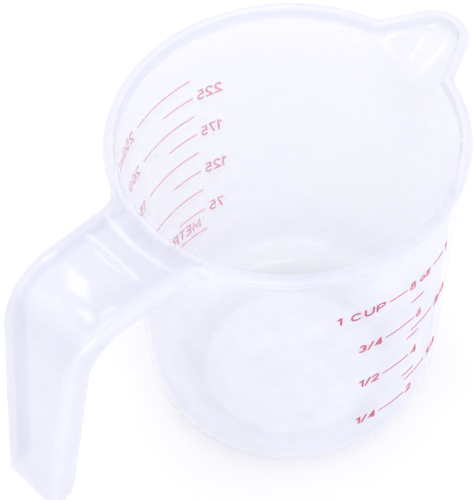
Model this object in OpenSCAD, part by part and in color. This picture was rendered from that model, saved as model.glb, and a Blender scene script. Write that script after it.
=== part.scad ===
// One-cup measuring jug, moulded in one piece from translucent polypropylene.
// The bowl stands on the XY plane and its axis is Z. The spout points along +X and the
// handle along -X. The scales are thin films of ink on the outside of the wall.

/* [Bowl] */
// Height of the rim above the table
rim_z = 85; // [80:1:100]
// Outside radius of the wall line at the height of the rim
wall_top_r = 39.6; // [38.5:0.1:41]
// Outside radius at which the wall line meets the table
wall_foot_r = 33.5; // [31:0.1:35]
// Outside radius of the round between the wall and the base
corner_r = 13.4; // [8:0.1:15]
// Thickness of the wall and of the floor
wall = 1.2; // [1:0.1:1.6]

/* [Rim] */
// Outside radius of the bead around the rim
bead_r = 40.7; // [40.5:0.1:42]
// Height of the bead
bead_h = 3.6; // [2:0.1:4.2]

/* [Spout] */
// Distance of the spout's tip from the bowl's axis
spout_reach = 52.6; // [50:0.1:58]
// Radius of the tip seen from above
spout_tip_r = 8.3; // [6:0.1:10]
// Radius of the spout's wide end seen from above
spout_root_r = 12.6; // [11:0.1:14]
// Distance of the wide end's centre from the bowl's axis
spout_root_x = 35; // [33:0.5:36]
// Depth below the rim at which the spout runs into the wall
spout_drop = 11; // [8:0.5:16]
// Outside radius of the round where the spout runs into the wall
spout_foot_r = 3.6; // [2.5:0.1:5]

/* [Handle] */
// Height of the handle's top face
handle_top_z = 84.4; // [80:0.1:84.9]
// Distance of the start of the bend from the bowl's axis
handle_bend_x = 57.5; // [52:0.5:64]
// Outside radius of the bend
handle_bend_r = 16; // [12:0.5:22]
// Outward lean of the grip from the vertical, in degrees
handle_lean = 7.8; // [2:0.1:15]
// Length of the straight grip below the bend
handle_grip = 44.5; // [30:0.5:50]
// Half of the handle's width where it leaves the bowl
handle_root_w = 13.2; // [10:0.1:15]
// Half of the handle's width at the bend
handle_bend_w = 12.4; // [9:0.1:14]
// Half of the handle's width at its lower end
handle_end_w = 8.2; // [6:0.1:10]
// Depth of the handle from its outer face to the edges of its sides
handle_depth = 6.4; // [5:0.1:9]
// Thickness of the strap that faces outward
strap_t = 1.8; // [1.4:0.1:2.4]
// Thickness of the handle's two sides
side_t = 1.6; // [1.2:0.1:2.2]
// Radius of the round at the lower corner of each side
side_corner_r = 4; // [1:0.5:4.5]
// Depth of the shallow thumb rest on top of the handle
thumb_depth = 0.7; // [0.3:0.1:1]

/* [Scales] */
// Thickness of the ink film
ink_t = 0.08; // [0.06:0.01:0.2]
// Height of a graduation line on the metric scale
metric_line_h = 0.38; // [0.2:0.02:0.5]
// Height of a graduation line on the other scales
line_h = 0.24; // [0.16:0.02:0.5]
// Height of the figures on the cup scale
cup_figure_h = 2.75; // [2.2:0.05:4]
// Height of the figures on the metric scale
metric_figure_h = 3.2; // [2.2:0.05:4]
// Width of a figure that is as wide as the box it is drawn in
figure_w = 3.2; // [2.4:0.1:4]
// Width of a figure's strokes, as a part of that box
stroke_w = 0.145; // [0.1:0.005:0.18]
// The same for the figures of the ounce and thirds scales, which are lighter
light_stroke_w = 0.1; // [0.08:0.005:0.18]
// The same for the figures of the metric scale, which are bolder
bold_stroke_w = 0.165; // [0.08:0.005:0.18]

/* [Hidden] */
$fn = 96;

natural = [0.9, 0.9, 0.97];
ink_red = [0.85, 0.2, 0.38];

clear = 1;               // how far a cutter runs past the face that it cuts
draft = atan((wall_top_r - wall_foot_r) / rim_z);
wall_normal = [cos(draft), -sin(draft)];
corner_centre = [wall_foot_r - corner_r * (1 - sin(draft)) / cos(draft), corner_r];
bead_z = rim_z - bead_h;
lip_overhang = bead_r - wall_top_r;
lip_w = lip_overhang + wall / cos(draft);

// Outside radius of the wall at height z, above the round.
function wall_r(z) = wall_foot_r + z * tan(draft);

// ---------------------------------------------------------------- bowl and rim

// Half section of the solid bowl, shrunk by inset and with the wall line run up to top_z.
module bowl_section(inset, top_z) {
    round_r = corner_r - inset;
    wall_end = [wall_r(top_z) - inset / cos(draft), top_z];
    translate(corner_centre) circle(r = round_r);
    polygon([
        [0, inset], [corner_centre.x, inset], corner_centre,
        corner_centre + round_r * wall_normal, wall_end, [0, top_z]
    ]);
}

// Half section of the bead: a square shoulder with a full round outer edge.
module bead_section() {
    translate([bead_r - bead_h / 2, bead_z + bead_h / 2]) circle(d = bead_h);
    translate([corner_centre.x, bead_z]) square([bead_r - bead_h / 2 - corner_centre.x, bead_h]);
}

// Space inside the bowl, run up past the rim.
module bowl_space() {
    rotate_extrude() intersection() {
        bowl_section(wall, rim_z + clear);
        translate([0, -clear]) square([bead_r, rim_z + 3 * clear]);
    }
}

// Everything inside the outer skin of the bowl and its bead, for parts that meet that skin.
module bowl_mass() {
    rotate_extrude() {
        intersection() {
            bowl_section(0, rim_z);
            translate([0, -clear]) square([bead_r, rim_z + 3 * clear]);
        }
        bead_section();
    }
}

module bowl() {
    color(natural) difference() {
        rotate_extrude() difference() {
            intersection() {
                bowl_section(0, rim_z);
                square([bead_r, bead_z]);
            }
            intersection() {
                bowl_section(wall, rim_z);
                square([bead_r, rim_z]);
            }
        }
        spout_space();
    }
}

module rim_bead() {
    color(natural) difference() {
        rotate_extrude() bead_section();
        bowl_space();
        spout_space();
    }
}

// ---------------------------------------------------------------- spout

// The spout seen from above, shrunk by inset.
module spout_plan(inset) {
    hull() {
        translate([spout_reach - spout_tip_r, 0]) circle(r = spout_tip_r - inset);
        translate([spout_root_x, 0]) circle(r = spout_root_r - inset);
    }
}

// A trough that narrows from the spout's plan at the bead down to a rounded foot on the wall.
module spout_trough(inset, foot_r, top_z) {
    hull() {
        translate([0, 0, bead_z]) linear_extrude(top_z - bead_z) spout_plan(inset);
        translate([spout_root_x, 0, rim_z - spout_drop]) sphere(r = foot_r, $fn = 32);
    }
}

module spout_space() {
    spout_trough(lip_w, spout_foot_r - wall, rim_z + clear, $fn = 64);
}

module pour_spout() {
    color(natural) difference() {
        union() {
            spout_trough(lip_overhang, spout_foot_r, rim_z, $fn = 64);
            translate([0, 0, bead_z]) linear_extrude(bead_h) spout_plan(0, $fn = 64);
        }
        spout_space();
        bowl_mass();
        bowl_space();
    }
}

// ---------------------------------------------------------------- handle

// The handle's side view follows a path: a level arm, a bend, and a straight leaning grip.
root_bite = 5;           // how far the arm runs into the bowl before it is cut to fit its skin
arm_start_x = bead_r - root_bite;
arm_len = handle_bend_x - arm_start_x;
bend_len = handle_bend_r * (90 - handle_lean) * PI / 180;
path_len = arm_len + bend_len + handle_grip;
bend_steps = 16;
bend_centre = [handle_bend_x, handle_top_z - handle_bend_r];

// Angle of the outward normal, above the level, at a distance s along the path.
function path_angle(s) =
    s <= arm_len ? 90 :
    s >= arm_len + bend_len ? handle_lean :
    90 - (s - arm_len) / handle_bend_r * 180 / PI;

// Point at a distance s along the path and a depth below the outer face.
function path_point(s, depth) =
    let (
        angle = path_angle(s),
        normal = [cos(angle), sin(angle)],
        along_arm = min(s - arm_len, 0),
        along_grip = max(s - arm_len - bend_len, 0)
    )
    bend_centre + [along_arm, 0]
        + (handle_bend_r - depth) * normal
        + along_grip * [sin(handle_lean), -cos(handle_lean)];

path_stops = concat([0], [for (i = [0 : bend_steps]) arm_len + bend_len * i / bend_steps], [path_len]);

// Side view of the strap: a band of even thickness under the outer face.
module strap_profile() {
    polygon(concat(
        [for (s = path_stops) path_point(s, 0)],
        [for (i = [len(path_stops) - 1 : -1 : 0]) path_point(path_stops[i], strap_t)]
    ));
}

// Side view of a side: the band under the strap, with a round at its lower corner.
module side_profile() {
    corner_steps = 8;
    corner_s = path_len - side_corner_r;
    corner_d = handle_depth - side_corner_r;
    polygon(concat(
        [for (s = path_stops) path_point(s, strap_t)],
        [for (i = [0 : corner_steps]) let (a = 90 * i / corner_steps)
            path_point(corner_s + side_corner_r * cos(a), corner_d + side_corner_r * sin(a))],
        [for (i = [len(path_stops) - 2 : -1 : 0]) path_point(path_stops[i], handle_depth)]
    ));
}

// Spreads a side view across the whole width of the handle.
module across_handle() {
    rotate([90, 0, 0]) translate([0, 0, -handle_root_w - clear])
        linear_extrude(2 * (handle_root_w + clear)) children();
}

// Block that gives the handle its width, narrower by inset on each side. It narrows a little
// along the arm and more towards the lower end of the grip.
module handle_width(inset) {
    end = path_point(path_len, 0);
    reach = end.x + clear;
    top = handle_top_z + clear;
    foot = path_point(path_len, handle_depth).y - clear;
    root_w = handle_root_w - inset;
    bend_w = handle_bend_w - inset;
    end_w = handle_end_w - inset;
    intersection() {
        translate([0, 0, foot]) linear_extrude(top - foot) polygon([
            [0, -root_w], [arm_start_x, -root_w], [handle_bend_x, -bend_w], [reach, -bend_w],
            [reach, bend_w], [handle_bend_x, bend_w], [arm_start_x, root_w], [0, root_w]
        ]);
        rotate([90, 0, 90]) linear_extrude(reach) polygon([
            [-end_w, foot], [-bend_w, bend_centre.y], [-root_w, bend_centre.y], [-root_w, top],
            [root_w, top], [root_w, bend_centre.y], [bend_w, bend_centre.y], [end_w, foot]
        ]);
    }
}

// Shallow trough for the thumb, from the end of the arm over the bend, with a round inner end.
module thumb_rest() {
    trough_r = 60;
    inner_end_x = handle_bend_x - 2;
    translate([inner_end_x, 0, handle_top_z + trough_r - thumb_depth]) {
        sphere(r = trough_r);
        rotate([0, 90, 0]) cylinder(r = trough_r, h = handle_bend_r);
    }
}

module handle_strap() {
    color(natural) rotate([0, 0, 180]) difference() {
        intersection() {
            across_handle() strap_profile();
            handle_width(0);
        }
        thumb_rest();
        bowl_mass();
    }
}

// One side of the handle. Hand is 1 for the side at +Y as the jug stands, and -1 for the other.
module handle_side(hand) {
    reach = 2 * handle_root_w;
    color(natural) rotate([0, 0, 180]) difference() {
        intersection() {
            across_handle() side_profile();
            handle_width(0);
            translate([0, hand > 0 ? -reach : 0, 0]) cube([2 * handle_bend_x, reach, rim_z]);
        }
        handle_width(side_t);
        bowl_mass();
    }
}

module handle_side_left() { handle_side(1); }
module handle_side_right() { handle_side(-1); }

// ---------------------------------------------------------------- scales

ml_per_ounce = 29.5735;
ounces_per_cup = 8;

// The inside of the bowl is a cone with a rounded foot. These give the volume of the whole
// cone from its floor up, and the part of it that the round takes away, in cubic millimetres.
space_foot_r = wall_foot_r - wall / cos(draft);
function cone_volume(z) = PI / (3 * tan(draft))
    * (pow(space_foot_r + z * tan(draft), 3) - pow(space_foot_r + wall * tan(draft), 3));
round_top_z = corner_centre.y + (corner_r - wall) * wall_normal.y;
slices = 60;
slice_h = (round_top_z - wall) / slices;
function sum(list, i = 0) = i < len(list) ? list[i] + sum(list, i + 1) : 0;
round_volume = sum([for (i = [0 : slices - 1]) let (
    z = wall + (i + 0.5) * slice_h,
    across = corner_centre.x + sqrt(pow(corner_r - wall, 2) - pow(corner_r - z, 2)),
    cone_across = space_foot_r + z * tan(draft)
) PI * (pow(cone_across, 2) - pow(across, 2)) * slice_h]);

// Height of the surface of a liquid, in millilitres, standing in the bowl.
function level_z(ml) =
    (pow((ml * 1000 + round_volume) * 3 * tan(draft) / PI
        + pow(space_foot_r + wall * tan(draft), 3), 1 / 3) - space_foot_r) / tan(draft);

// Angles around the bowl, from the spout, at which the columns of each scale stand.
cup_line_at = 263.2;
cup_line_sweep = 12.8;
cup_figures_end = 261.6;
ounce_figures_at = 277.4;
ounce_tick_at = 273.8;
tick_sweep = 6.4;
ounce_unit_at = 277;
ounce_stub_sweep = 7.6;
thirds_line_at = 275.6;
thirds_line_sweep = 12.6;
thirds_figures_at = 290.4;
thirds_stub_at = 284.8;
metric_line_at = 84;
metric_long_sweep = 27.6;
metric_short_sweep = 13.7;
metric_short_figures_end = 82;
metric_long_figures_at = 115;
metric_word_at = 87;

quarters = [1, 2, 3, 4];
metric_long = [50, 100, 150, 200, 250];
metric_short = [75, 125, 175, 225];

// A line of ink around the wall from an angle, at the level of a volume.
module graduation(ml, at, sweep, height = line_h) {
    low = level_z(ml) - height / 2;
    high = low + height;
    rotate([0, 0, at]) rotate_extrude(angle = sweep, $fn = 180) polygon([
        [wall_r(low), low], [wall_r(low) + ink_t, low],
        [wall_r(high) + ink_t, high], [wall_r(high), high]
    ]);
}

module cup_scale_lines() {
    color(ink_red) for (q = quarters)
        graduation(q * 2 * ml_per_ounce, cup_line_at, q == 4 ? ounce_stub_sweep : cup_line_sweep);
}

module ounce_scale_lines() {
    color(ink_red) for (oz = [3, 5, 7]) graduation(oz * ml_per_ounce, ounce_tick_at, tick_sweep);
}

module thirds_scale_lines() {
    cup = ounces_per_cup * ml_per_ounce;
    color(ink_red) {
        for (third = [1, 2]) graduation(cup * third / 3, thirds_line_at, thirds_line_sweep);
        graduation(cup, thirds_stub_at, tick_sweep);
    }
}

module metric_scale_lines() {
    color(ink_red) {
        for (ml = metric_long) graduation(ml, metric_line_at, metric_long_sweep, metric_line_h);
        for (ml = metric_short) graduation(ml, metric_line_at, metric_short_sweep, metric_line_h);
    }
}

// Figures are drawn in a box one unit high. A stroke is a chain of points given a width, and a
// ring is a closed oval. Each figure is [width, strokes, rings].
function arc(cx, cy, rx, ry, from, to, steps = 7) = [
    for (i = [0 : steps])
        let (a = from + (to - from) * i / steps) [cx + rx * cos(a), cy + ry * sin(a)]
];

figure_0 = [0.6, [], [[0.3, 0.5, 0.3, 0.5]]];
figure_1 = [0.34, [[[0.02, 0.74], [0.27, 0.93], [0.27, 0]]], []];
figure_2 = [0.6, [concat(arc(0.3, 0.68, 0.24, 0.25, 170, -35), [[0.06, 0.08], [0.6, 0.08]])], []];
figure_3 = [0.58, [arc(0.26, 0.71, 0.23, 0.22, 150, -90), arc(0.26, 0.29, 0.25, 0.22, 90, -150)], []];
figure_4 = [0.62, [[[0.62, 0.25], [0.1, 0.25], [0.44, 0.9]], [[0.46, 1], [0.46, 0]]], []];
figure_5 = [0.58, [
    concat([[0.52, 0.93], [0.15, 0.93], [0.1, 0.52]], arc(0.28, 0.32, 0.24, 0.25, 110, -145))
], []];
figure_6 = [0.6, [
    concat([[0.46, 1]], arc(0.48, 0.32, 0.4, 0.46, 135, 180, 3))
], [[0.31, 0.31, 0.29, 0.31]]];
figure_7 = [0.56, [[[0.02, 0.93], [0.5, 0.93], [0.2, 0]]], []];
figure_8 = [0.6, [], [[0.3, 0.76, 0.24, 0.24], [0.3, 0.29, 0.29, 0.29]]];
slash = [0.4, [[[0.02, 0], [0.38, 1]]], []];
letter_C = [0.9, [arc(0.46, 0.5, 0.38, 0.43, 45, 315, 9)], []];
letter_U = [0.8, [concat([[0.09, 1]], arc(0.4, 0.34, 0.31, 0.27, 180, 360), [[0.71, 1]])], []];
letter_P = [0.76, [
    [[0.09, 0], [0.09, 1]],
    concat(
        [[0.09, 0.93], [0.42, 0.93]], arc(0.42, 0.69, 0.27, 0.24, 70, -70, 5),
        [[0.42, 0.45], [0.09, 0.45]]
    )
], []];
letter_M = [0.8, [[[0.08, 0], [0.08, 0.9], [0.4, 0.25], [0.72, 0.9], [0.72, 0]]], []];
letter_E = [0.56, [
    [[0.56, 0.93], [0.09, 0.93], [0.09, 0.07], [0.56, 0.07]],
    [[0.09, 0.5], [0.48, 0.5]]
], []];
letter_T = [0.58, [[[0, 0.93], [0.58, 0.93]], [[0.29, 0.93], [0.29, 0]]], []];
letter_R = [0.64, [
    [[0.09, 0], [0.09, 1]],
    concat(
        [[0.09, 0.93], [0.32, 0.93]], arc(0.32, 0.71, 0.22, 0.22, 70, -70, 5),
        [[0.32, 0.49], [0.09, 0.49]]
    ),
    [[0.34, 0.5], [0.6, 0]]
], []];
letter_I = [0.18, [[[0.09, 0], [0.09, 1]]], []];
letter_o = [0.54, [], [[0.27, 0.34, 0.27, 0.34]]];
letter_z = [0.5, [[[0.02, 0.61], [0.44, 0.61], [0.06, 0.07], [0.5, 0.07]]], []];
letter_m = [0.8, [
    [[0.08, 0], [0.08, 0.68]],
    concat([[0.08, 0.4]], arc(0.24, 0.45, 0.15, 0.16, 150, 0, 5), [[0.39, 0]]),
    concat([[0.39, 0.4]], arc(0.55, 0.45, 0.16, 0.16, 150, 0, 5), [[0.71, 0]])
], []];
letter_l = [0.18, [[[0.09, 0], [0.09, 1]]], []];
space = [0.36, [], []];

digits = [figure_0, figure_1, figure_2, figure_3, figure_4, figure_5, figure_6, figure_7, figure_8];

// The digits of a whole number below 1000.
function number(n) = n < 10 ? [digits[n]] : concat(number(floor(n / 10)), [digits[n % 10]]);

// Width of a row of figures up to the one at index end, with the gap after each.
figure_gap = 0.13;
function row_width(row, end, i = 0) =
    i < end ? row[i][0] + figure_gap + row_width(row, end, i + 1) : 0;

// Sideways normal of a chain at point i, lengthened at corners to keep the stroke's width.
function side_of(a, b) = [a.y - b.y, b.x - a.x] / norm(b - a);
function chain_normal(chain, i) =
    i == 0 ? side_of(chain[0], chain[1]) :
    i == len(chain) - 1 ? side_of(chain[i - 1], chain[i]) :
    let (before = side_of(chain[i - 1], chain[i]), after = side_of(chain[i], chain[i + 1]))
    (before + after) / max(1 + before * after, 0.4);

module stroke(chain, weight) {
    half = weight / 2;
    polygon(concat(
        [for (i = [0 : len(chain) - 1]) chain[i] + half * chain_normal(chain, i)],
        [for (i = [len(chain) - 1 : -1 : 0]) chain[i] - half * chain_normal(chain, i)]
    ));
}

// An oval, as [centre x, centre y, radius across, radius up].
module ring(oval, weight) {
    steps = 20;
    last = 360 - 360 / steps;
    difference() {
        polygon(arc(oval[0], oval[1], oval[2], oval[3], 0, last, steps - 1));
        polygon(arc(oval[0], oval[1], oval[2] - weight, oval[3] - weight, 0, last, steps - 1));
    }
}

// One figure as a flat film. Its middle touches the wall at an angle around the bowl, and its two
// edges stand just clear of the wall.
module figure_on_wall(shape, at, z, height, weight) {
    foot_z = z - height / 2;
    rotate([0, 0, at]) translate([wall_r(foot_z), -shape[0] / 2 * figure_w, foot_z])
        rotate([0, draft, 0]) rotate([90, 0, 90]) linear_extrude(ink_t) scale([figure_w, height]) {
            for (chain = shape[1]) stroke(chain, weight);
            for (oval = shape[2]) ring(oval, weight);
        }
}

// Angle that a figure as wide as its box takes up around the wall at height z.
function figure_turn(z) = figure_w / wall_r(z) * 180 / PI;

// A row of figures around the wall, centred on height z and starting at an angle.
module figures(row, at, z, height, weight = stroke_w) {
    for (i = [0 : len(row) - 1])
        figure_on_wall(
            row[i], at + figure_turn(z) * (row_width(row, i) + row[i][0] / 2), z, height, weight
        );
}

// The same, ending at an angle.
module figures_before(row, end, z, height, weight = stroke_w) {
    figures(row, end - figure_turn(z) * (row_width(row, len(row)) - figure_gap), z, height, weight);
}

module cup_scale_figures() {
    quarter_names = [
        [figure_1, slash, figure_4], [figure_1, slash, figure_2], [figure_3, slash, figure_4],
        [figure_1, space, letter_C, letter_U, letter_P]
    ];
    third_names = [[figure_1, slash, figure_3], [figure_2, slash, figure_3], [figure_1]];
    line_gap = 1.3;      // angle between a line and the figure after it
    cup = ounces_per_cup * ml_per_ounce;
    high = cup_figure_h;
    light = light_stroke_w;
    color(ink_red) {
        for (q = quarters)
            figures_before(quarter_names[q - 1], cup_figures_end, level_z(cup * q / 4), high);
        for (oz = [2, 4, 6])
            figures([digits[oz]], ounce_figures_at, level_z(oz * ml_per_ounce), high, light);
        figures([figure_8], cup_line_at + ounce_stub_sweep + line_gap, level_z(cup), high, light);
        figures([letter_o, letter_z], ounce_unit_at, level_z(cup), high, light);
        for (third = [1, 2])
            figures(third_names[third - 1], thirds_figures_at, level_z(cup * third / 3), high, light);
        figures(third_names[2], thirds_stub_at + tick_sweep + line_gap, level_z(cup), high, light);
    }
}

module metric_scale_figures() {
    word_z = (level_z(50) + level_z(75)) / 2;
    high = metric_figure_h;
    bold = bold_stroke_w;
    color(ink_red) {
        for (ml = metric_long)
            figures(
                concat(number(ml), ml == max(metric_long) ? [letter_m, letter_l] : []),
                metric_long_figures_at, level_z(ml), high, bold
            );
        for (ml = metric_short)
            figures_before(number(ml), metric_short_figures_end, level_z(ml), high, bold);
        figures(
            [letter_M, letter_E, letter_T, letter_R, letter_I, letter_C],
            metric_word_at, word_z, high, bold
        );
    }
}

bowl();
rim_bead();
pour_spout();
handle_strap();
handle_side_left();
handle_side_right();
cup_scale_lines();
ounce_scale_lines();
thirds_scale_lines();
cup_scale_figures();
metric_scale_lines();
metric_scale_figures();
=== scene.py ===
"""A one-cup measuring jug of translucent plastic, with printed scales, on a pale floor.

The jug is one moulding, so one seamless mesh stands for the six solids that the frame cuts it into.
Its sizes repeat the part's own, in millimetres; where it can, the script reads them off the frame.
"""

import math

import bmesh
import bpy
import numpy as np
from mathutils import Matrix, Vector


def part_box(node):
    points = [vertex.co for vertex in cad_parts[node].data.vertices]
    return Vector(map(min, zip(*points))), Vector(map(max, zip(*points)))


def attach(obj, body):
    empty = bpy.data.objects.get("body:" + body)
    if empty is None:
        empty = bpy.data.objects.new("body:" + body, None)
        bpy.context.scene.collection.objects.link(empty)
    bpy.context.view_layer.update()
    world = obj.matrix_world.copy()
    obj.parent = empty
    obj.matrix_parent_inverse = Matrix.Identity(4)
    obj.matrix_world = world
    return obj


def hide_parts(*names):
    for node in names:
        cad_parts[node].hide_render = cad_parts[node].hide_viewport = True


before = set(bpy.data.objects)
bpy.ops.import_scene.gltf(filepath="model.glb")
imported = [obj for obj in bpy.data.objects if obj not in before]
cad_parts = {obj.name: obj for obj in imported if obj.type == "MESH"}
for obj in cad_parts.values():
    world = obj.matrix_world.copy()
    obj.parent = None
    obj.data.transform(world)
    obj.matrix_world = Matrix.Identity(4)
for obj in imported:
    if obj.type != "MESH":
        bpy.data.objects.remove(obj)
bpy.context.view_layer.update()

MM = 0.001
PLASTIC_NODES = (
    "bowl", "rim_bead", "pour_spout", "handle_strap", "handle_side_left", "handle_side_right",
)


def frame_mm(node, end, axis):
    """A coordinate of a CAD node's box in millimetres, at its low corner (end 0) or its high one (1)."""
    return round(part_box(node)[end][axis] / MM, 1)


# ------------------------------------------------------------------------------ sizes
RIM_Z = frame_mm("rim_bead", 1, 2)
BEAD_Z = frame_mm("rim_bead", 0, 2)
BEAD_R = frame_mm("rim_bead", 1, 1)
HALF_BEAD = (RIM_Z - BEAD_Z) / 2
BEAD_CENTRE = (BEAD_R - HALF_BEAD, BEAD_Z + HALF_BEAD)
BEAD_FILLET = 1.0           # round between the bead and the wall below it
WALL_TOP_R = BEAD_R - 1.1   # where the line of the wall meets the rim's height
WALL_FOOT_R = 33.5          # where the line of the wall meets the floor
CORNER_R = 13.4             # round between wall and base
WALL = 1.2                  # thickness of wall and floor
HUB_R = 2.0                 # innermost ring of the base and the floor
DRAFT = math.atan((WALL_TOP_R - WALL_FOOT_R) / RIM_Z)
CORNER_X = WALL_FOOT_R - CORNER_R * (1 - math.sin(DRAFT)) / math.cos(DRAFT)

SPOUT_TIP_X = frame_mm("pour_spout", 1, 0)
SPOUT_TIP_R = 8.3
SPOUT_ROOT_R = 12.6
SPOUT_ROOT_X = 35.0
SPOUT_FOOT_Z = RIM_Z - 11.0
SPOUT_FOOT_R = 3.6
SPOUT_BLEND = 1.5           # how far the spout's joint with the wall is rounded
SPOUT_COLUMNS = 120         # columns of faces across the spout, and around the rest of the bowl
OTHER_COLUMNS = 216

HANDLE_TOP_Z = frame_mm("handle_strap", 1, 2)
HANDLE_BEND_X = 57.5
HANDLE_BEND_R = 16.0
HANDLE_LEAN = math.radians(7.8)
HANDLE_GRIP = 44.5
HANDLE_ROOT_W = 13.2
HANDLE_BEND_W = 12.4
HANDLE_END_W = 8.2
HANDLE_DEPTH = 6.4
STRAP_T = 1.8
SIDE_T = 1.6
SIDE_CORNER_R = 4.0
HANDLE_EDGE_R = 2.2         # round along the handle's outer edges
HANDLE_INNER_R = 1.0        # round in the corners of its channel
HANDLE_END_R = 0.6          # round around its lower end
HANDLE_ROOT_BLEND = 3.0     # flare where the handle runs into the bowl
EDGE_FLARE = 0.2            # share of the flare that the sides take, and the strap's underside
UNDER_FLARE = 0.5
ROOT_STEP_R = 44.0          # small step on top of the handle, around the rim
ROOT_STEP_W = 1.2
ROOT_STEP_H = 0.2
THUMB_DEPTH = 0.7           # trough for the thumb over the bend
THUMB_R = 60.0              # radius of the trough's section
THUMB_START = 10.4          # where the trough starts along the arm
THUMB_RUN = 1.8             # length over which it reaches its depth


def wall_r(z):
    """Outside radius of the wall at a height above the corner's round."""
    return WALL_FOOT_R + z * math.tan(DRAFT)


# ------------------------------------------------------------------------------ mesh helpers
def new_object(name, verts_mm, faces):
    """A mesh object from points in millimetres."""
    mesh = bpy.data.meshes.new(name)
    mesh.from_pydata([tuple(v) for v in np.asarray(verts_mm) * MM], [], faces)
    mesh.validate()
    obj = bpy.data.objects.new(name, mesh)
    bpy.context.scene.collection.objects.link(obj)
    return obj


def face_outward(obj):
    """Turns every face of a closed mesh outward and shades it smooth."""
    shape = bmesh.new()
    shape.from_mesh(obj.data)
    bmesh.ops.recalc_face_normals(shape, faces=shape.faces)
    for face in shape.faces:
        face.smooth = True
    shape.to_mesh(obj.data)
    shape.free()


def arc(centre, radius, start, end, steps):
    """Points on an arc, in order. Angles are in radians."""
    turns = np.linspace(start, end, steps + 1)
    return np.stack([centre[0] + radius * np.cos(turns), centre[1] + radius * np.sin(turns)], 1)


def line(start, end, steps):
    """Points along a line after its start."""
    t = np.linspace(0, 1, steps + 1)[1:, None]
    return np.array(start) + t * (np.array(end) - np.array(start))


# ------------------------------------------------------------------------------ bowl and spout
def smooth_union(a, b, blend):
    """Distance to the union of two shapes, with the joint between them rounded."""
    near = np.maximum(blend - np.abs(a - b), 0) / blend
    return np.minimum(a, b) - near * near * blend / 4


def two_circles(x, y, root_r, tip_x, tip_r):
    """Distance to the outline around two circles: one at the spout's root and one at tip_x."""
    along = x - SPOUT_ROOT_X
    aside = np.abs(y)
    length = np.maximum(tip_x - SPOUT_ROOT_X, 1e-6)
    taper = np.clip((root_r - tip_r) / length, -0.99, 0.99)
    slope = np.sqrt(1 - taper * taper)
    place = slope * along - taper * aside
    sides = slope * aside + taper * along - root_r
    at_root = np.hypot(along, aside) - root_r
    at_tip = np.hypot(along - length, aside) - tip_r
    return np.where(place < 0, at_root, np.where(place > slope * length, at_tip, sides))


def spout_distance(x, y, z, inset, foot_r):
    """Distance to the spout's outline at height z, inset from its outline at the rim."""
    tip_x = SPOUT_TIP_X - SPOUT_TIP_R
    rise = np.clip((z - SPOUT_FOOT_Z) / (BEAD_Z - SPOUT_FOOT_Z), 0, 1)
    root_r = foot_r + rise * (SPOUT_ROOT_R - inset - foot_r)
    tip_r = foot_r + rise * (SPOUT_TIP_R - inset - foot_r)
    return two_circles(x, y, root_r, SPOUT_ROOT_X + rise * (tip_x - SPOUT_ROOT_X), tip_r)


def ring_radius(turns, z, wall_radius, inset, foot_r):
    """Distance of a ring from the bowl's axis in each direction, spout included.

    The ring follows the round bowl at wall_radius, and bulges out where the spout is. Each distance
    is found by halving the range that it lies in.
    """
    low = np.zeros_like(turns)
    high = np.full_like(turns, SPOUT_TIP_X + SPOUT_BLEND)
    for _ in range(40):
        middle = (low + high) / 2
        to_spout = spout_distance(middle * np.cos(turns), middle * np.sin(turns), z, inset, foot_r)
        outside = smooth_union(middle - wall_radius, to_spout, SPOUT_BLEND) > 0
        high = np.where(outside, middle, high)
        low = np.where(outside, low, middle)
    return (low + high) / 2


def bead_fillet():
    """Centre of the fillet between the wall and the bead, and its direction from the bead's centre."""
    slope = math.tan(DRAFT)
    aside = WALL_FOOT_R + BEAD_FILLET / math.cos(DRAFT) - BEAD_CENTRE[0]
    a = 1 + slope ** 2
    b = slope * aside - BEAD_CENTRE[1]
    c = aside ** 2 + BEAD_CENTRE[1] ** 2 - (HALF_BEAD + BEAD_FILLET) ** 2
    z = (-b - math.sqrt(b ** 2 - a * c)) / a
    out = aside + z * slope
    return (BEAD_CENTRE[0] + out, z), math.atan2(z - BEAD_CENTRE[1], out)


def bowl_profile():
    """The bowl's half section, from the middle of the base out, up, over the rim and back inside."""
    corner = (CORNER_X, CORNER_R)
    fillet, under_bead = bead_fillet()
    outer_foot = arc(corner, CORNER_R, -math.pi / 2, -DRAFT, steps=22)
    inner_foot = arc(corner, CORNER_R - WALL, -DRAFT, -math.pi / 2, steps=22)
    below_bead = arc(fillet, BEAD_FILLET, math.pi - DRAFT, math.pi + under_bead, steps=8)
    inner_top = wall_r(RIM_Z) - WALL / math.cos(DRAFT)
    edge = BEAD_CENTRE[0] - inner_top
    outer = [
        line((HUB_R, 0), outer_foot[0], steps=8),
        outer_foot[1:],
        line(outer_foot[-1], below_bead[0], steps=44),
        below_bead[1:],
        arc(BEAD_CENTRE, HALF_BEAD, under_bead, math.pi / 2, steps=14)[1:],
        arc((inner_top + edge, RIM_Z - edge), edge, math.pi / 2, math.pi, steps=6)[1:],
    ]
    inner = [
        line((inner_top, RIM_Z - edge), inner_foot[0], steps=48),
        inner_foot[1:],
        line(inner_foot[-1], (HUB_R, WALL), steps=8),
    ]
    return np.concatenate(outer), np.concatenate(inner)


def ring_turns():
    """Directions of the bowl's columns of faces: close together at the spout, wider elsewhere."""
    half_spout = math.radians(26)
    close = np.linspace(-half_spout, half_spout, SPOUT_COLUMNS, endpoint=False)
    wide = np.linspace(half_spout, 2 * math.pi - half_spout, OTHER_COLUMNS, endpoint=False)
    return np.concatenate([close, wide])


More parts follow.
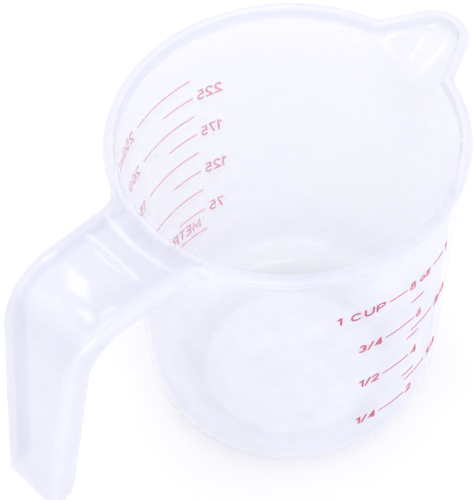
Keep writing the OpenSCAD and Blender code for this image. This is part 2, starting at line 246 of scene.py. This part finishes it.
def build_bowl():
    """The bowl with its bead and spout, as one closed mesh."""
    turns = ring_turns()
    outer, inner = bowl_profile()
    rings = []
    for index, (radius, z) in enumerate(np.concatenate([outer, inner])):
        if z > SPOUT_FOOT_Z - 2 * SPOUT_FOOT_R:
            proud_of_wall = radius - wall_r(min(z, BEAD_Z))
            inset = BEAD_R - wall_r(BEAD_Z) - proud_of_wall
            foot_r = SPOUT_FOOT_R - (WALL if index >= len(outer) else 0)
            reach = ring_radius(turns, z, radius, inset, foot_r)
        else:
            reach = np.full_like(turns, radius)
        rings.append(np.stack([reach * np.cos(turns), reach * np.sin(turns), np.full_like(turns, z)], 1))
    verts = np.concatenate(rings + [[[0, 0, 0]], [[0, 0, WALL]]])
    columns = len(turns)
    faces = []
    for ring in range(len(rings) - 1):
        for column in range(columns):
            after = (column + 1) % columns
            a, b = ring * columns + column, ring * columns + after
            faces.append((a, b, b + columns, a + columns))
    base, floor = len(verts) - 2, len(verts) - 1
    last = (len(rings) - 1) * columns
    for column in range(columns):
        after = (column + 1) % columns
        faces.append((base, after, column))
        faces.append((floor, last + column, last + after))
    bowl = new_object("bowl_mesh", verts, faces)
    face_outward(bowl)
    return bowl


# ------------------------------------------------------------------------------ handle
ARM_IN_WALL = 1.6           # how far the handle's root reaches into the wall
ARM_START = BEAD_R - ARM_IN_WALL
ARM_LEN = HANDLE_BEND_X - ARM_START
BEND_LEN = HANDLE_BEND_R * (math.pi / 2 - HANDLE_LEAN)
PATH_LEN = ARM_LEN + BEND_LEN + HANDLE_GRIP


def path_point(s, depth):
    """Side view of the handle: (distance out, height) at s along its path and a depth under its face."""
    if s <= ARM_LEN:
        angle = math.pi / 2
    else:
        angle = max(math.pi / 2 - (s - ARM_LEN) / HANDLE_BEND_R, HANDLE_LEAN)
    along_arm = min(s - ARM_LEN, 0)
    along_grip = max(s - ARM_LEN - BEND_LEN, 0)
    reach = HANDLE_BEND_R - depth
    out = HANDLE_BEND_X + along_arm + reach * math.cos(angle) + along_grip * math.sin(HANDLE_LEAN)
    up = HANDLE_TOP_Z - HANDLE_BEND_R + reach * math.sin(angle) - along_grip * math.cos(HANDLE_LEAN)
    return out, up


def half_width(s):
    """Half of the handle's width at s along its path."""
    middle = ARM_LEN + BEND_LEN / 2
    if s < middle:
        return HANDLE_ROOT_W + (HANDLE_BEND_W - HANDLE_ROOT_W) * s / middle
    return HANDLE_BEND_W + (HANDLE_END_W - HANDLE_BEND_W) * (s - middle) / (PATH_LEN - middle)


def channel_section(half_w, depth, flare, shrink):
    """The handle's U-shaped section as two chains of (across, depth) from tip to tip.

    flare widens its top where it runs into the bowl, and shrink rounds off its free end.
    """
    top_w = half_w + flare - shrink
    edge_w = half_w + EDGE_FLARE * flare - shrink
    in_w = half_w - SIDE_T + shrink
    under = STRAP_T + UNDER_FLARE * flare - shrink
    tip = depth - shrink
    half_t = (edge_w - in_w) / 2
    tip_c = (-(edge_w + in_w) / 2, tip - half_t)
    edge_c = (HANDLE_EDGE_R - top_w, shrink + HANDLE_EDGE_R)
    inner_c = (HANDLE_INNER_R - in_w, under + HANDLE_INNER_R)
    outer = np.concatenate([
        arc(tip_c, half_t, math.pi / 2, math.pi, steps=5),
        line((-edge_w, tip - half_t), (-top_w, edge_c[1]), steps=5),
        arc(edge_c, HANDLE_EDGE_R, math.pi, 1.5 * math.pi, steps=8)[1:],
        line((edge_c[0], shrink), (0, shrink), steps=12),
    ])
    inner = np.concatenate([
        arc(tip_c, half_t, math.pi / 2, 0, steps=5),
        line((-in_w, tip - half_t), (-in_w, inner_c[1]), steps=5),
        arc(inner_c, HANDLE_INNER_R, math.pi, 1.5 * math.pi, steps=8)[1:],
        line((inner_c[0], under), (0, under), steps=12),
    ])
    mirror = np.array([-1, 1])
    return [np.concatenate([half, (half[:-1] * mirror)[::-1]]) for half in (outer, inner)]


def flare_at(s):
    """How much wider the top of the handle is than its plain section, near the bowl's wall."""
    to_go = 1 - np.clip((s - ARM_IN_WALL) / HANDLE_ROOT_BLEND, 0, 1)
    return HANDLE_ROOT_BLEND * (1 - math.sqrt(1 - to_go * to_go))


def handle_stations():
    """Stations along the path, each (s, flare, shrink), closer together where the shape changes."""
    step_end = 7.0
    corner_at = PATH_LEN - SIDE_CORNER_R
    places = np.concatenate([
        np.linspace(0, step_end, 26),
        np.linspace(step_end, THUMB_START, 6)[1:],
        np.linspace(THUMB_START, THUMB_START + THUMB_RUN, 9)[1:],
        np.linspace(THUMB_START + THUMB_RUN, ARM_LEN, 12)[1:],
        ARM_LEN + np.linspace(0, BEND_LEN, 25)[1:],
        np.linspace(ARM_LEN + BEND_LEN, corner_at, 22)[1:],
        np.linspace(corner_at, PATH_LEN - HANDLE_END_R, 8)[1:],
    ])
    body = [(s, flare_at(s), 0) for s in places]
    end = [(PATH_LEN - HANDLE_END_R * (1 - math.sin(a)), 0, HANDLE_END_R * (1 - math.cos(a)))
           for a in np.linspace(0, math.pi / 2, 6)[1:]]
    return body + end


def side_depth(s):
    """Depth of the handle's sides, which ends in a round at the lower corner."""
    into_corner = s - (PATH_LEN - SIDE_CORNER_R)
    if into_corner <= 0:
        return HANDLE_DEPTH
    return HANDLE_DEPTH - SIDE_CORNER_R + math.sqrt(max(SIDE_CORNER_R ** 2 - into_corner ** 2, 0))


def ease(value, start, end):
    """0 before start, 1 after end, and a smooth rise between them."""
    t = min(max((value - start) / (end - start), 0), 1)
    return t * t * (3 - 2 * t)


def top_relief(s, out, across):
    """How far the handle's top face stands above its plain height.

    It is nearly level with the rim close to the bowl, drops in a small step, and has a shallow trough
    for the thumb that starts before the bend and fades out over it.
    """
    step = 1 - ease(math.hypot(out, across), ROOT_STEP_R, ROOT_STEP_R + ROOT_STEP_W)
    trough = max(THUMB_DEPTH - across ** 2 / (2 * THUMB_R), 0)
    starting = ease(s, THUMB_START, THUMB_START + THUMB_RUN)
    ending = ease(s, ARM_LEN + BEND_LEN / 2, ARM_LEN + BEND_LEN)
    return ROOT_STEP_H * step - trough * starting * (1 - ending)


def build_handle():
    """The hook handle: a U-shaped channel swept along its path, with its root inside the bowl's wall."""
    verts, rings = [], []
    for s, flare, shrink in handle_stations():
        outer, inner = channel_section(half_width(s), side_depth(s), flare, shrink)
        loop = np.concatenate([outer, inner[1:-1][::-1]])
        on_top = np.concatenate([outer[:, 1] < HANDLE_EDGE_R, np.zeros(len(inner) - 2, bool)])
        ring = []
        for (across, depth), upper in zip(loop, on_top):
            out, up = path_point(s, depth)
            hug = np.clip(1 - s / ARM_LEN, 0, 1)
            out -= hug * (BEAD_R - math.sqrt(BEAD_R ** 2 - across ** 2))
            if upper:
                up += top_relief(s, out, across)
            ring.append(len(verts))
            verts.append((-out, across, up))
        rings.append(ring)
    faces = []
    count = len(rings[0])
    for here, there in zip(rings, rings[1:]):
        for i in range(count):
            j = (i + 1) % count
            faces.append((here[i], here[j], there[j], there[i]))
    half = (count + 2) // 2
    for ring in (rings[0], rings[-1]):
        outer_ids = ring[:half]
        inner_ids = [ring[0]] + ring[half:][::-1] + [ring[half - 1]]
        for i in range(half - 1):
            corners = [outer_ids[i], outer_ids[i + 1], inner_ids[i + 1], inner_ids[i]]
            faces.append(tuple(dict.fromkeys(corners)))
    handle = new_object("handle_mesh", verts, faces)
    face_outward(handle)
    return handle


# ------------------------------------------------------------------------------ one moulding
def join_solids(name, base, other):
    """The union of two closed meshes, as a new object; the two are removed."""
    union = base.modifiers.new("union", "BOOLEAN")
    union.operation = "UNION"
    union.solver = "EXACT"
    union.object = other
    graph = bpy.context.evaluated_depsgraph_get()
    mesh = bpy.data.meshes.new_from_object(base.evaluated_get(graph))
    mesh.name = name
    joined = bpy.data.objects.new(name, mesh)
    bpy.context.scene.collection.objects.link(joined)
    for old in (base, other):
        bpy.data.objects.remove(old, do_unlink=True)
    face_outward(joined)
    return joined


# ------------------------------------------------------------------------------ materials
# Colours come in pairs: the two ends of a faint mottle.
WALL_COLOURS = ((0.72, 0.725, 0.845), (0.755, 0.76, 0.885))
# painted shade: a darker lavender mixed in on the handle, the rim, the spout and towards the foot
PAINTED_SHADE_COLOURS = ((0.615, 0.62, 0.72), (0.655, 0.66, 0.76))
# painted light: a lighter lavender on the bowl's floor where it faces up
LIT_COLOURS = ((0.805, 0.81, 0.925), (0.83, 0.835, 0.945))
INK_PRINTED = ((0.35, 0.03, 0.105), (0.41, 0.05, 0.14))
# painted light: a brighter red for the ink's side on the wall, seen through the plastic
INK_PAINTED_GLOW = ((1.0, 0.03, 0.2), (1.0, 0.07, 0.26))
TABLE_COLOURS = ((0.965, 0.965, 0.965), (0.985, 0.985, 0.985))

PLASTIC_IOR = 1.49
SKIN_SHINE = 0.8            # Specular IOR Level of the plastic and the ink
WALL_MILK = (0.43, 0.51)    # share of the light that a plain wall keeps
THICK_MILK = 0.32           # how much more the thickest plastic keeps
PLASTIC_HAZE = (0.08, 0.14)  # roughness of the plastic face on
EDGE_HAZE = 0.34            # and at a glancing angle


def node_material(name):
    """An empty node material, its tree and its Principled shader."""
    material = bpy.data.materials.new(name)
    material.use_nodes = True
    tree = material.node_tree
    return material, tree, tree.nodes["Principled BSDF"]


def noise(tree, scale, detail):
    """Noise in the object's own coordinates, in cycles per metre."""
    place = tree.nodes.new("ShaderNodeTexCoord")
    texture = tree.nodes.new("ShaderNodeTexNoise")
    texture.inputs["Scale"].default_value = scale
    texture.inputs["Detail"].default_value = detail
    tree.links.new(place.outputs["Object"], texture.inputs["Vector"])
    return texture


def ramp(tree, source, colours):
    """A colour that goes between a pair of colours with a noise."""
    node = tree.nodes.new("ShaderNodeValToRGB")
    for element, position, colour in zip(node.color_ramp.elements, (0.35, 0.65), colours):
        element.position = position
        element.color = (*colour, 1)
    tree.links.new(source.outputs["Fac"], node.inputs["Fac"])
    return node.outputs["Color"]


def span(tree, source, low, high):
    """A noise spread over a range of values."""
    node = tree.nodes.new("ShaderNodeMapRange")
    for name, value in (("From Min", 0.3), ("From Max", 0.7), ("To Min", low), ("To Max", high)):
        node.inputs[name].default_value = value
    tree.links.new(source.outputs["Fac"], node.inputs["Value"])
    return node.outputs["Result"]


def bump(tree, source, shader, strength, distance):
    """Small relief from a noise."""
    node = tree.nodes.new("ShaderNodeBump")
    node.inputs["Strength"].default_value = strength
    node.inputs["Distance"].default_value = distance
    tree.links.new(source.outputs["Fac"], node.inputs["Height"])
    tree.links.new(node.outputs["Normal"], shader.inputs["Normal"])


def scatter(shader, radius, scale):
    """Lets light spread under the surface. radius is its reach in red, green and blue, times scale."""
    shader.inputs["Subsurface Weight"].default_value = 0.8
    shader.inputs["Subsurface Radius"].default_value = radius
    shader.inputs["Subsurface Scale"].default_value = scale


def math_node(tree, operation, first, second):
    """A Math node on two sockets or plain numbers. Gives its output."""
    node = tree.nodes.new("ShaderNodeMath")
    node.operation = operation
    for socket, value in zip(node.inputs, (first, second)):
        if isinstance(value, (int, float)):
            socket.default_value = value
        else:
            tree.links.new(value, socket)
    return node.outputs[0]


def times(tree, first, second):
    """The product of two values."""
    return math_node(tree, "MULTIPLY", first, second)


def one_minus(tree, value):
    """What is left of 1."""
    return math_node(tree, "SUBTRACT", 1, value)


def largest(tree, first, *others):
    """The largest of several values."""
    for other in others:
        first = math_node(tree, "MAXIMUM", first, other)
    return first


def fade(tree, source, start, end, low, high):
    """A value that goes smoothly from low to high as source goes from start to end."""
    node = tree.nodes.new("ShaderNodeMapRange")
    node.interpolation_type = "SMOOTHSTEP"
    for name, value in (("From Min", start), ("From Max", end), ("To Min", low), ("To Max", high)):
        node.inputs[name].default_value = value
    tree.links.new(source, node.inputs["Value"])
    return node.outputs["Result"]


def mix(tree, share, first, second):
    """A colour between two others. share is how much there is of the second."""
    node = tree.nodes.new("ShaderNodeMix")
    node.data_type = "RGBA"
    for name, source in (("Factor", share), ("A", first), ("B", second)):
        tree.links.new(source, node.inputs[name])
    return node.outputs["Result"]


def axes_of(tree, vector):
    """The X, Y and Z of a vector."""
    axes = tree.nodes.new("ShaderNodeSeparateXYZ")
    tree.links.new(vector, axes.inputs["Vector"])
    return axes.outputs


def parts_of_jug(tree):
    """Shares from 0 to 1 of the handle, the top of its arm, the rim, the spout, the foot and the floor.

    Each share grows over the few millimetres between where there is none of it and where it is all.
    """
    place = axes_of(tree, tree.nodes.new("ShaderNodeTexCoord").outputs["Object"])
    facing = axes_of(tree, tree.nodes.new("ShaderNodeNewGeometry").outputs["True Normal"])

    def share(axis, none_at, all_at):
        return fade(tree, place[axis], none_at * MM, all_at * MM, 0, 1)

    handle = share("X", -BEAD_R, -BEAD_R - 5)
    arm_top = share("Z", HANDLE_TOP_Z - 7, HANDLE_TOP_Z - 1)
    rim = share("Z", BEAD_Z - 1, BEAD_Z + 1)
    spout = share("X", BEAD_R - 6, BEAD_R)
    foot = share("Z", 2 * CORNER_R, 0)
    faces_up = fade(tree, facing["Z"], 0, 0.6, 0, 1)
    floor = times(tree, share("Z", CORNER_R, WALL), faces_up)
    return handle, arm_top, rim, spout, foot, floor


def milkiness(tree, clouds, thick):
    """How much of the light a wall of the plastic keeps from going straight through.

    A wall counts once, where a ray enters it: the face where the ray leaves adds nothing. At a
    glancing angle the wall mirrors more, so less goes through.
    """
    uneven = fade(tree, clouds.outputs["Fac"], 0.3, 0.7, *WALL_MILK)
    milky = math_node(tree, "ADD", uneven, times(tree, thick, THICK_MILK))
    mirror = tree.nodes.new("ShaderNodeFresnel")
    mirror.inputs["IOR"].default_value = PLASTIC_IOR
    clear = times(tree, one_minus(tree, milky), one_minus(tree, mirror.outputs["Fac"]))
    side = tree.nodes.new("ShaderNodeNewGeometry")
    entering = one_minus(tree, side.outputs["Backfacing"])
    return times(tree, one_minus(tree, clear), entering)


def plastic_colour(tree, clouds, shaded, floor):
    """Milky lavender, darkened with painted shade by the share shaded, and lightened with painted light
    on the bowl's floor where it faces up.
    """
    body = mix(tree, shaded, ramp(tree, clouds, WALL_COLOURS), ramp(tree, clouds, PAINTED_SHADE_COLOURS))
    # Painted light: the up-facing floor of the bowl takes the lighter lavender.
    return mix(tree, floor, body, ramp(tree, clouds, LIT_COLOURS))


def plastic_gloss(tree):
    """A satin roughness, uneven in fine patches and duller at a glancing angle."""
    haze = span(tree, noise(tree, 160, 4), *PLASTIC_HAZE)
    glancing = tree.nodes.new("ShaderNodeLayerWeight")
    return largest(tree, haze, fade(tree, glancing.outputs["Facing"], 0.8, 0.92, 0, EDGE_HAZE))


def natural_plastic():
    """Translucent polypropylene: milky, faintly lavender, satin, with a soft moulded skin."""
    material, tree, shader = node_material("natural_polypropylene")
    clouds = noise(tree, 45, 3)
    handle, arm_top, rim, spout, foot, floor = parts_of_jug(tree)
    thick = largest(tree, handle, times(tree, rim, 0.7), times(tree, spout, 0.5))
    # Painted shade: the colour darkens on the handle, less on the top of its arm, which stays lighter as
    # if lit from above, and on the spout, the rim and towards the bottom.
    below_arm_top = one_minus(tree, times(tree, arm_top, 0.85))
    shaded = largest(tree, times(tree, handle, below_arm_top), times(tree, spout, 0.5),
                     times(tree, rim, 0.5), times(tree, foot, 0.55))
    tree.links.new(plastic_colour(tree, clouds, shaded, floor), shader.inputs["Base Color"])
    tree.links.new(milkiness(tree, clouds, thick), shader.inputs["Alpha"])
    tree.links.new(plastic_gloss(tree), shader.inputs["Roughness"])
    bump(tree, noise(tree, 700, 2), shader, 0.1, 0.1 * MM)
    shader.inputs["IOR"].default_value = PLASTIC_IOR
    shader.inputs["Specular IOR Level"].default_value = SKIN_SHINE
    scatter(shader, (1, 1, 1), 3 * MM)
    return material


def side_on_wall(tree):
    """1 on the side of an ink film that lies on the wall, and 0 on its outer side."""
    place = tree.nodes.new("ShaderNodeTexCoord")
    level = tree.nodes.new("ShaderNodeVectorMath")
    level.operation = "MULTIPLY"
    level.inputs[1].default_value = (1, 1, 0)
    tree.links.new(place.outputs["Object"], level.inputs[0])
    facing = tree.nodes.new("ShaderNodeNewGeometry")
    outward = tree.nodes.new("ShaderNodeVectorMath")
    outward.operation = "DOT_PRODUCT"
    tree.links.new(level.outputs["Vector"], outward.inputs[0])
    tree.links.new(facing.outputs["True Normal"], outward.inputs[1])
    return fade(tree, outward.outputs["Value"], -10 * MM, 10 * MM, 1, 0)


def scale_ink():
    """Red printing ink, a little uneven. Light spreads through the thin film, and its side on the wall
    takes a brighter red, painted light that stands in for the ink glowing when lit from behind through
    the wall.
    """
    material, tree, shader = node_material("scale_ink_red")
    patches = noise(tree, 1400, 3)
    printed = ramp(tree, patches, INK_PRINTED)
    painted_glow = ramp(tree, patches, INK_PAINTED_GLOW)
    # Painted light: the side on the wall takes the brighter red.
    tree.links.new(mix(tree, side_on_wall(tree), printed, painted_glow), shader.inputs["Base Color"])
    grain = noise(tree, 2600, 2)
    tree.links.new(span(tree, grain, 0.3, 0.45), shader.inputs["Roughness"])
    shader.inputs["Specular IOR Level"].default_value = SKIN_SHINE
    bump(tree, grain, shader, 0.2, 0.03 * MM)
    scatter(shader, (1, 0.1, 0.2), 0.5 * MM)
    return material


def pale_floor():
    """A plain pale floor with a very faint mottle."""
    material, tree, shader = node_material("pale_floor")
    tree.links.new(ramp(tree, noise(tree, 18, 3), TABLE_COLOURS), shader.inputs["Base Color"])
    shader.inputs["Roughness"].default_value = 0.7
    return material


# ------------------------------------------------------------------------------ the jug
def build_jug():
    """The moulding that stands for the six plastic nodes."""
    jug = join_solids("jug_moulding", build_bowl(), build_handle())
    jug.data.materials.append(natural_plastic())
    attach(jug, "root")
    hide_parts(*PLASTIC_NODES)


def dress_ink():
    """The ink films are the CAD nodes themselves, in a better material."""
    ink = scale_ink()
    for name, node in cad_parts.items():
        if "_scale_" in name:
            for slot in node.material_slots:
                slot.material = ink


# ------------------------------------------------------------------------------ stage, light, camera
FLOOR_REACH = 3000.0        # how far the floor runs to each side
LIGHT_AWAY = 0.9            # how far the softboxes stand from the handle, in metres


def build_floor():
    """A wide level floor that runs far past the view on every side."""
    corners = [(x * FLOOR_REACH, y * FLOOR_REACH, 0) for x, y in ((-1, -1), (1, -1), (1, 1), (-1, 1))]
    floor = new_object("floor", corners, [(0, 1, 2, 3)])
    floor.data.materials.append(pale_floor())


def soft_light(name, towards, width, height, radiance):
    """A softbox of a width and height in metres, in a direction from the handle's bend, facing it."""
    aim = Vector((-HANDLE_BEND_X * MM, 0, HANDLE_TOP_Z * MM))
    data = bpy.data.lights.new(name, "AREA")
    data.shape = "RECTANGLE"
    data.size = width
    data.size_y = height
    data.energy = radiance * math.pi * width * height
    light = bpy.data.objects.new(name, data)
    direction = Vector(towards).normalized()
    light.location = aim + LIGHT_AWAY * direction
    light.rotation_euler = direction.to_track_quat("Z", "Y").to_euler()
    bpy.context.scene.collection.objects.link(light)


def build_lights():
    """A white room, two softboxes high on the far side, one high in front and a long low one in front."""
    world = bpy.data.worlds.new("white_room")
    world.use_nodes = True
    room = world.node_tree.nodes["Background"]
    room.inputs["Color"].default_value = (1.0, 1.0, 1.0, 1)
    room.inputs["Strength"].default_value = 1.0
    bpy.context.scene.world = world
    soft_light("main_softbox", (0.116, 0.497, 0.859), 0.34, 0.18, 2.0)
    soft_light("side_softbox", (-0.24, 0.68, 0.69), 0.16, 0.14, 2.2)
    soft_light("front_softbox", (-0.188, -0.549, 0.814), 0.45, 0.12, 2.6)
    soft_light("low_softbox", (-0.62, -0.78, 0.12), 0.9, 0.22, 3.0)


def build_camera():
    """A long lens from the handle's side, looking well down into the bowl."""
    place = Vector((-0.25916, -0.29604, 0.54630))
    aim = Vector((-0.00823, 0.00923, 0.0425))
    roll = math.radians(-2.616)
    data = bpy.data.cameras.new("camera")
    data.sensor_width = 36
    data.lens = 198.5
    data.clip_start = 0.01
    data.clip_end = 20
    camera = bpy.data.objects.new("camera", data)
    forward = (aim - place).normalized()
    level = forward.cross(Vector((0, 0, 1))).normalized()
    above = level.cross(forward)
    right = level * math.cos(roll) + above * math.sin(roll)
    up = right.cross(forward)
    camera.matrix_world = Matrix.Translation(place) @ Matrix((right, up, -forward)).transposed().to_4x4()
    bpy.context.scene.collection.objects.link(camera)
    bpy.context.scene.camera = camera


def set_view():
    """Plain colour handling, so that white stays white, and a view through every wall of the jug."""
    view = bpy.context.scene.view_settings
    view.view_transform = "Standard"
    view.look = "None"
    bpy.context.scene.cycles.transparent_max_bounces = 24


build_jug()
dress_ink()
build_floor()
build_lights()
build_camera()
set_view()
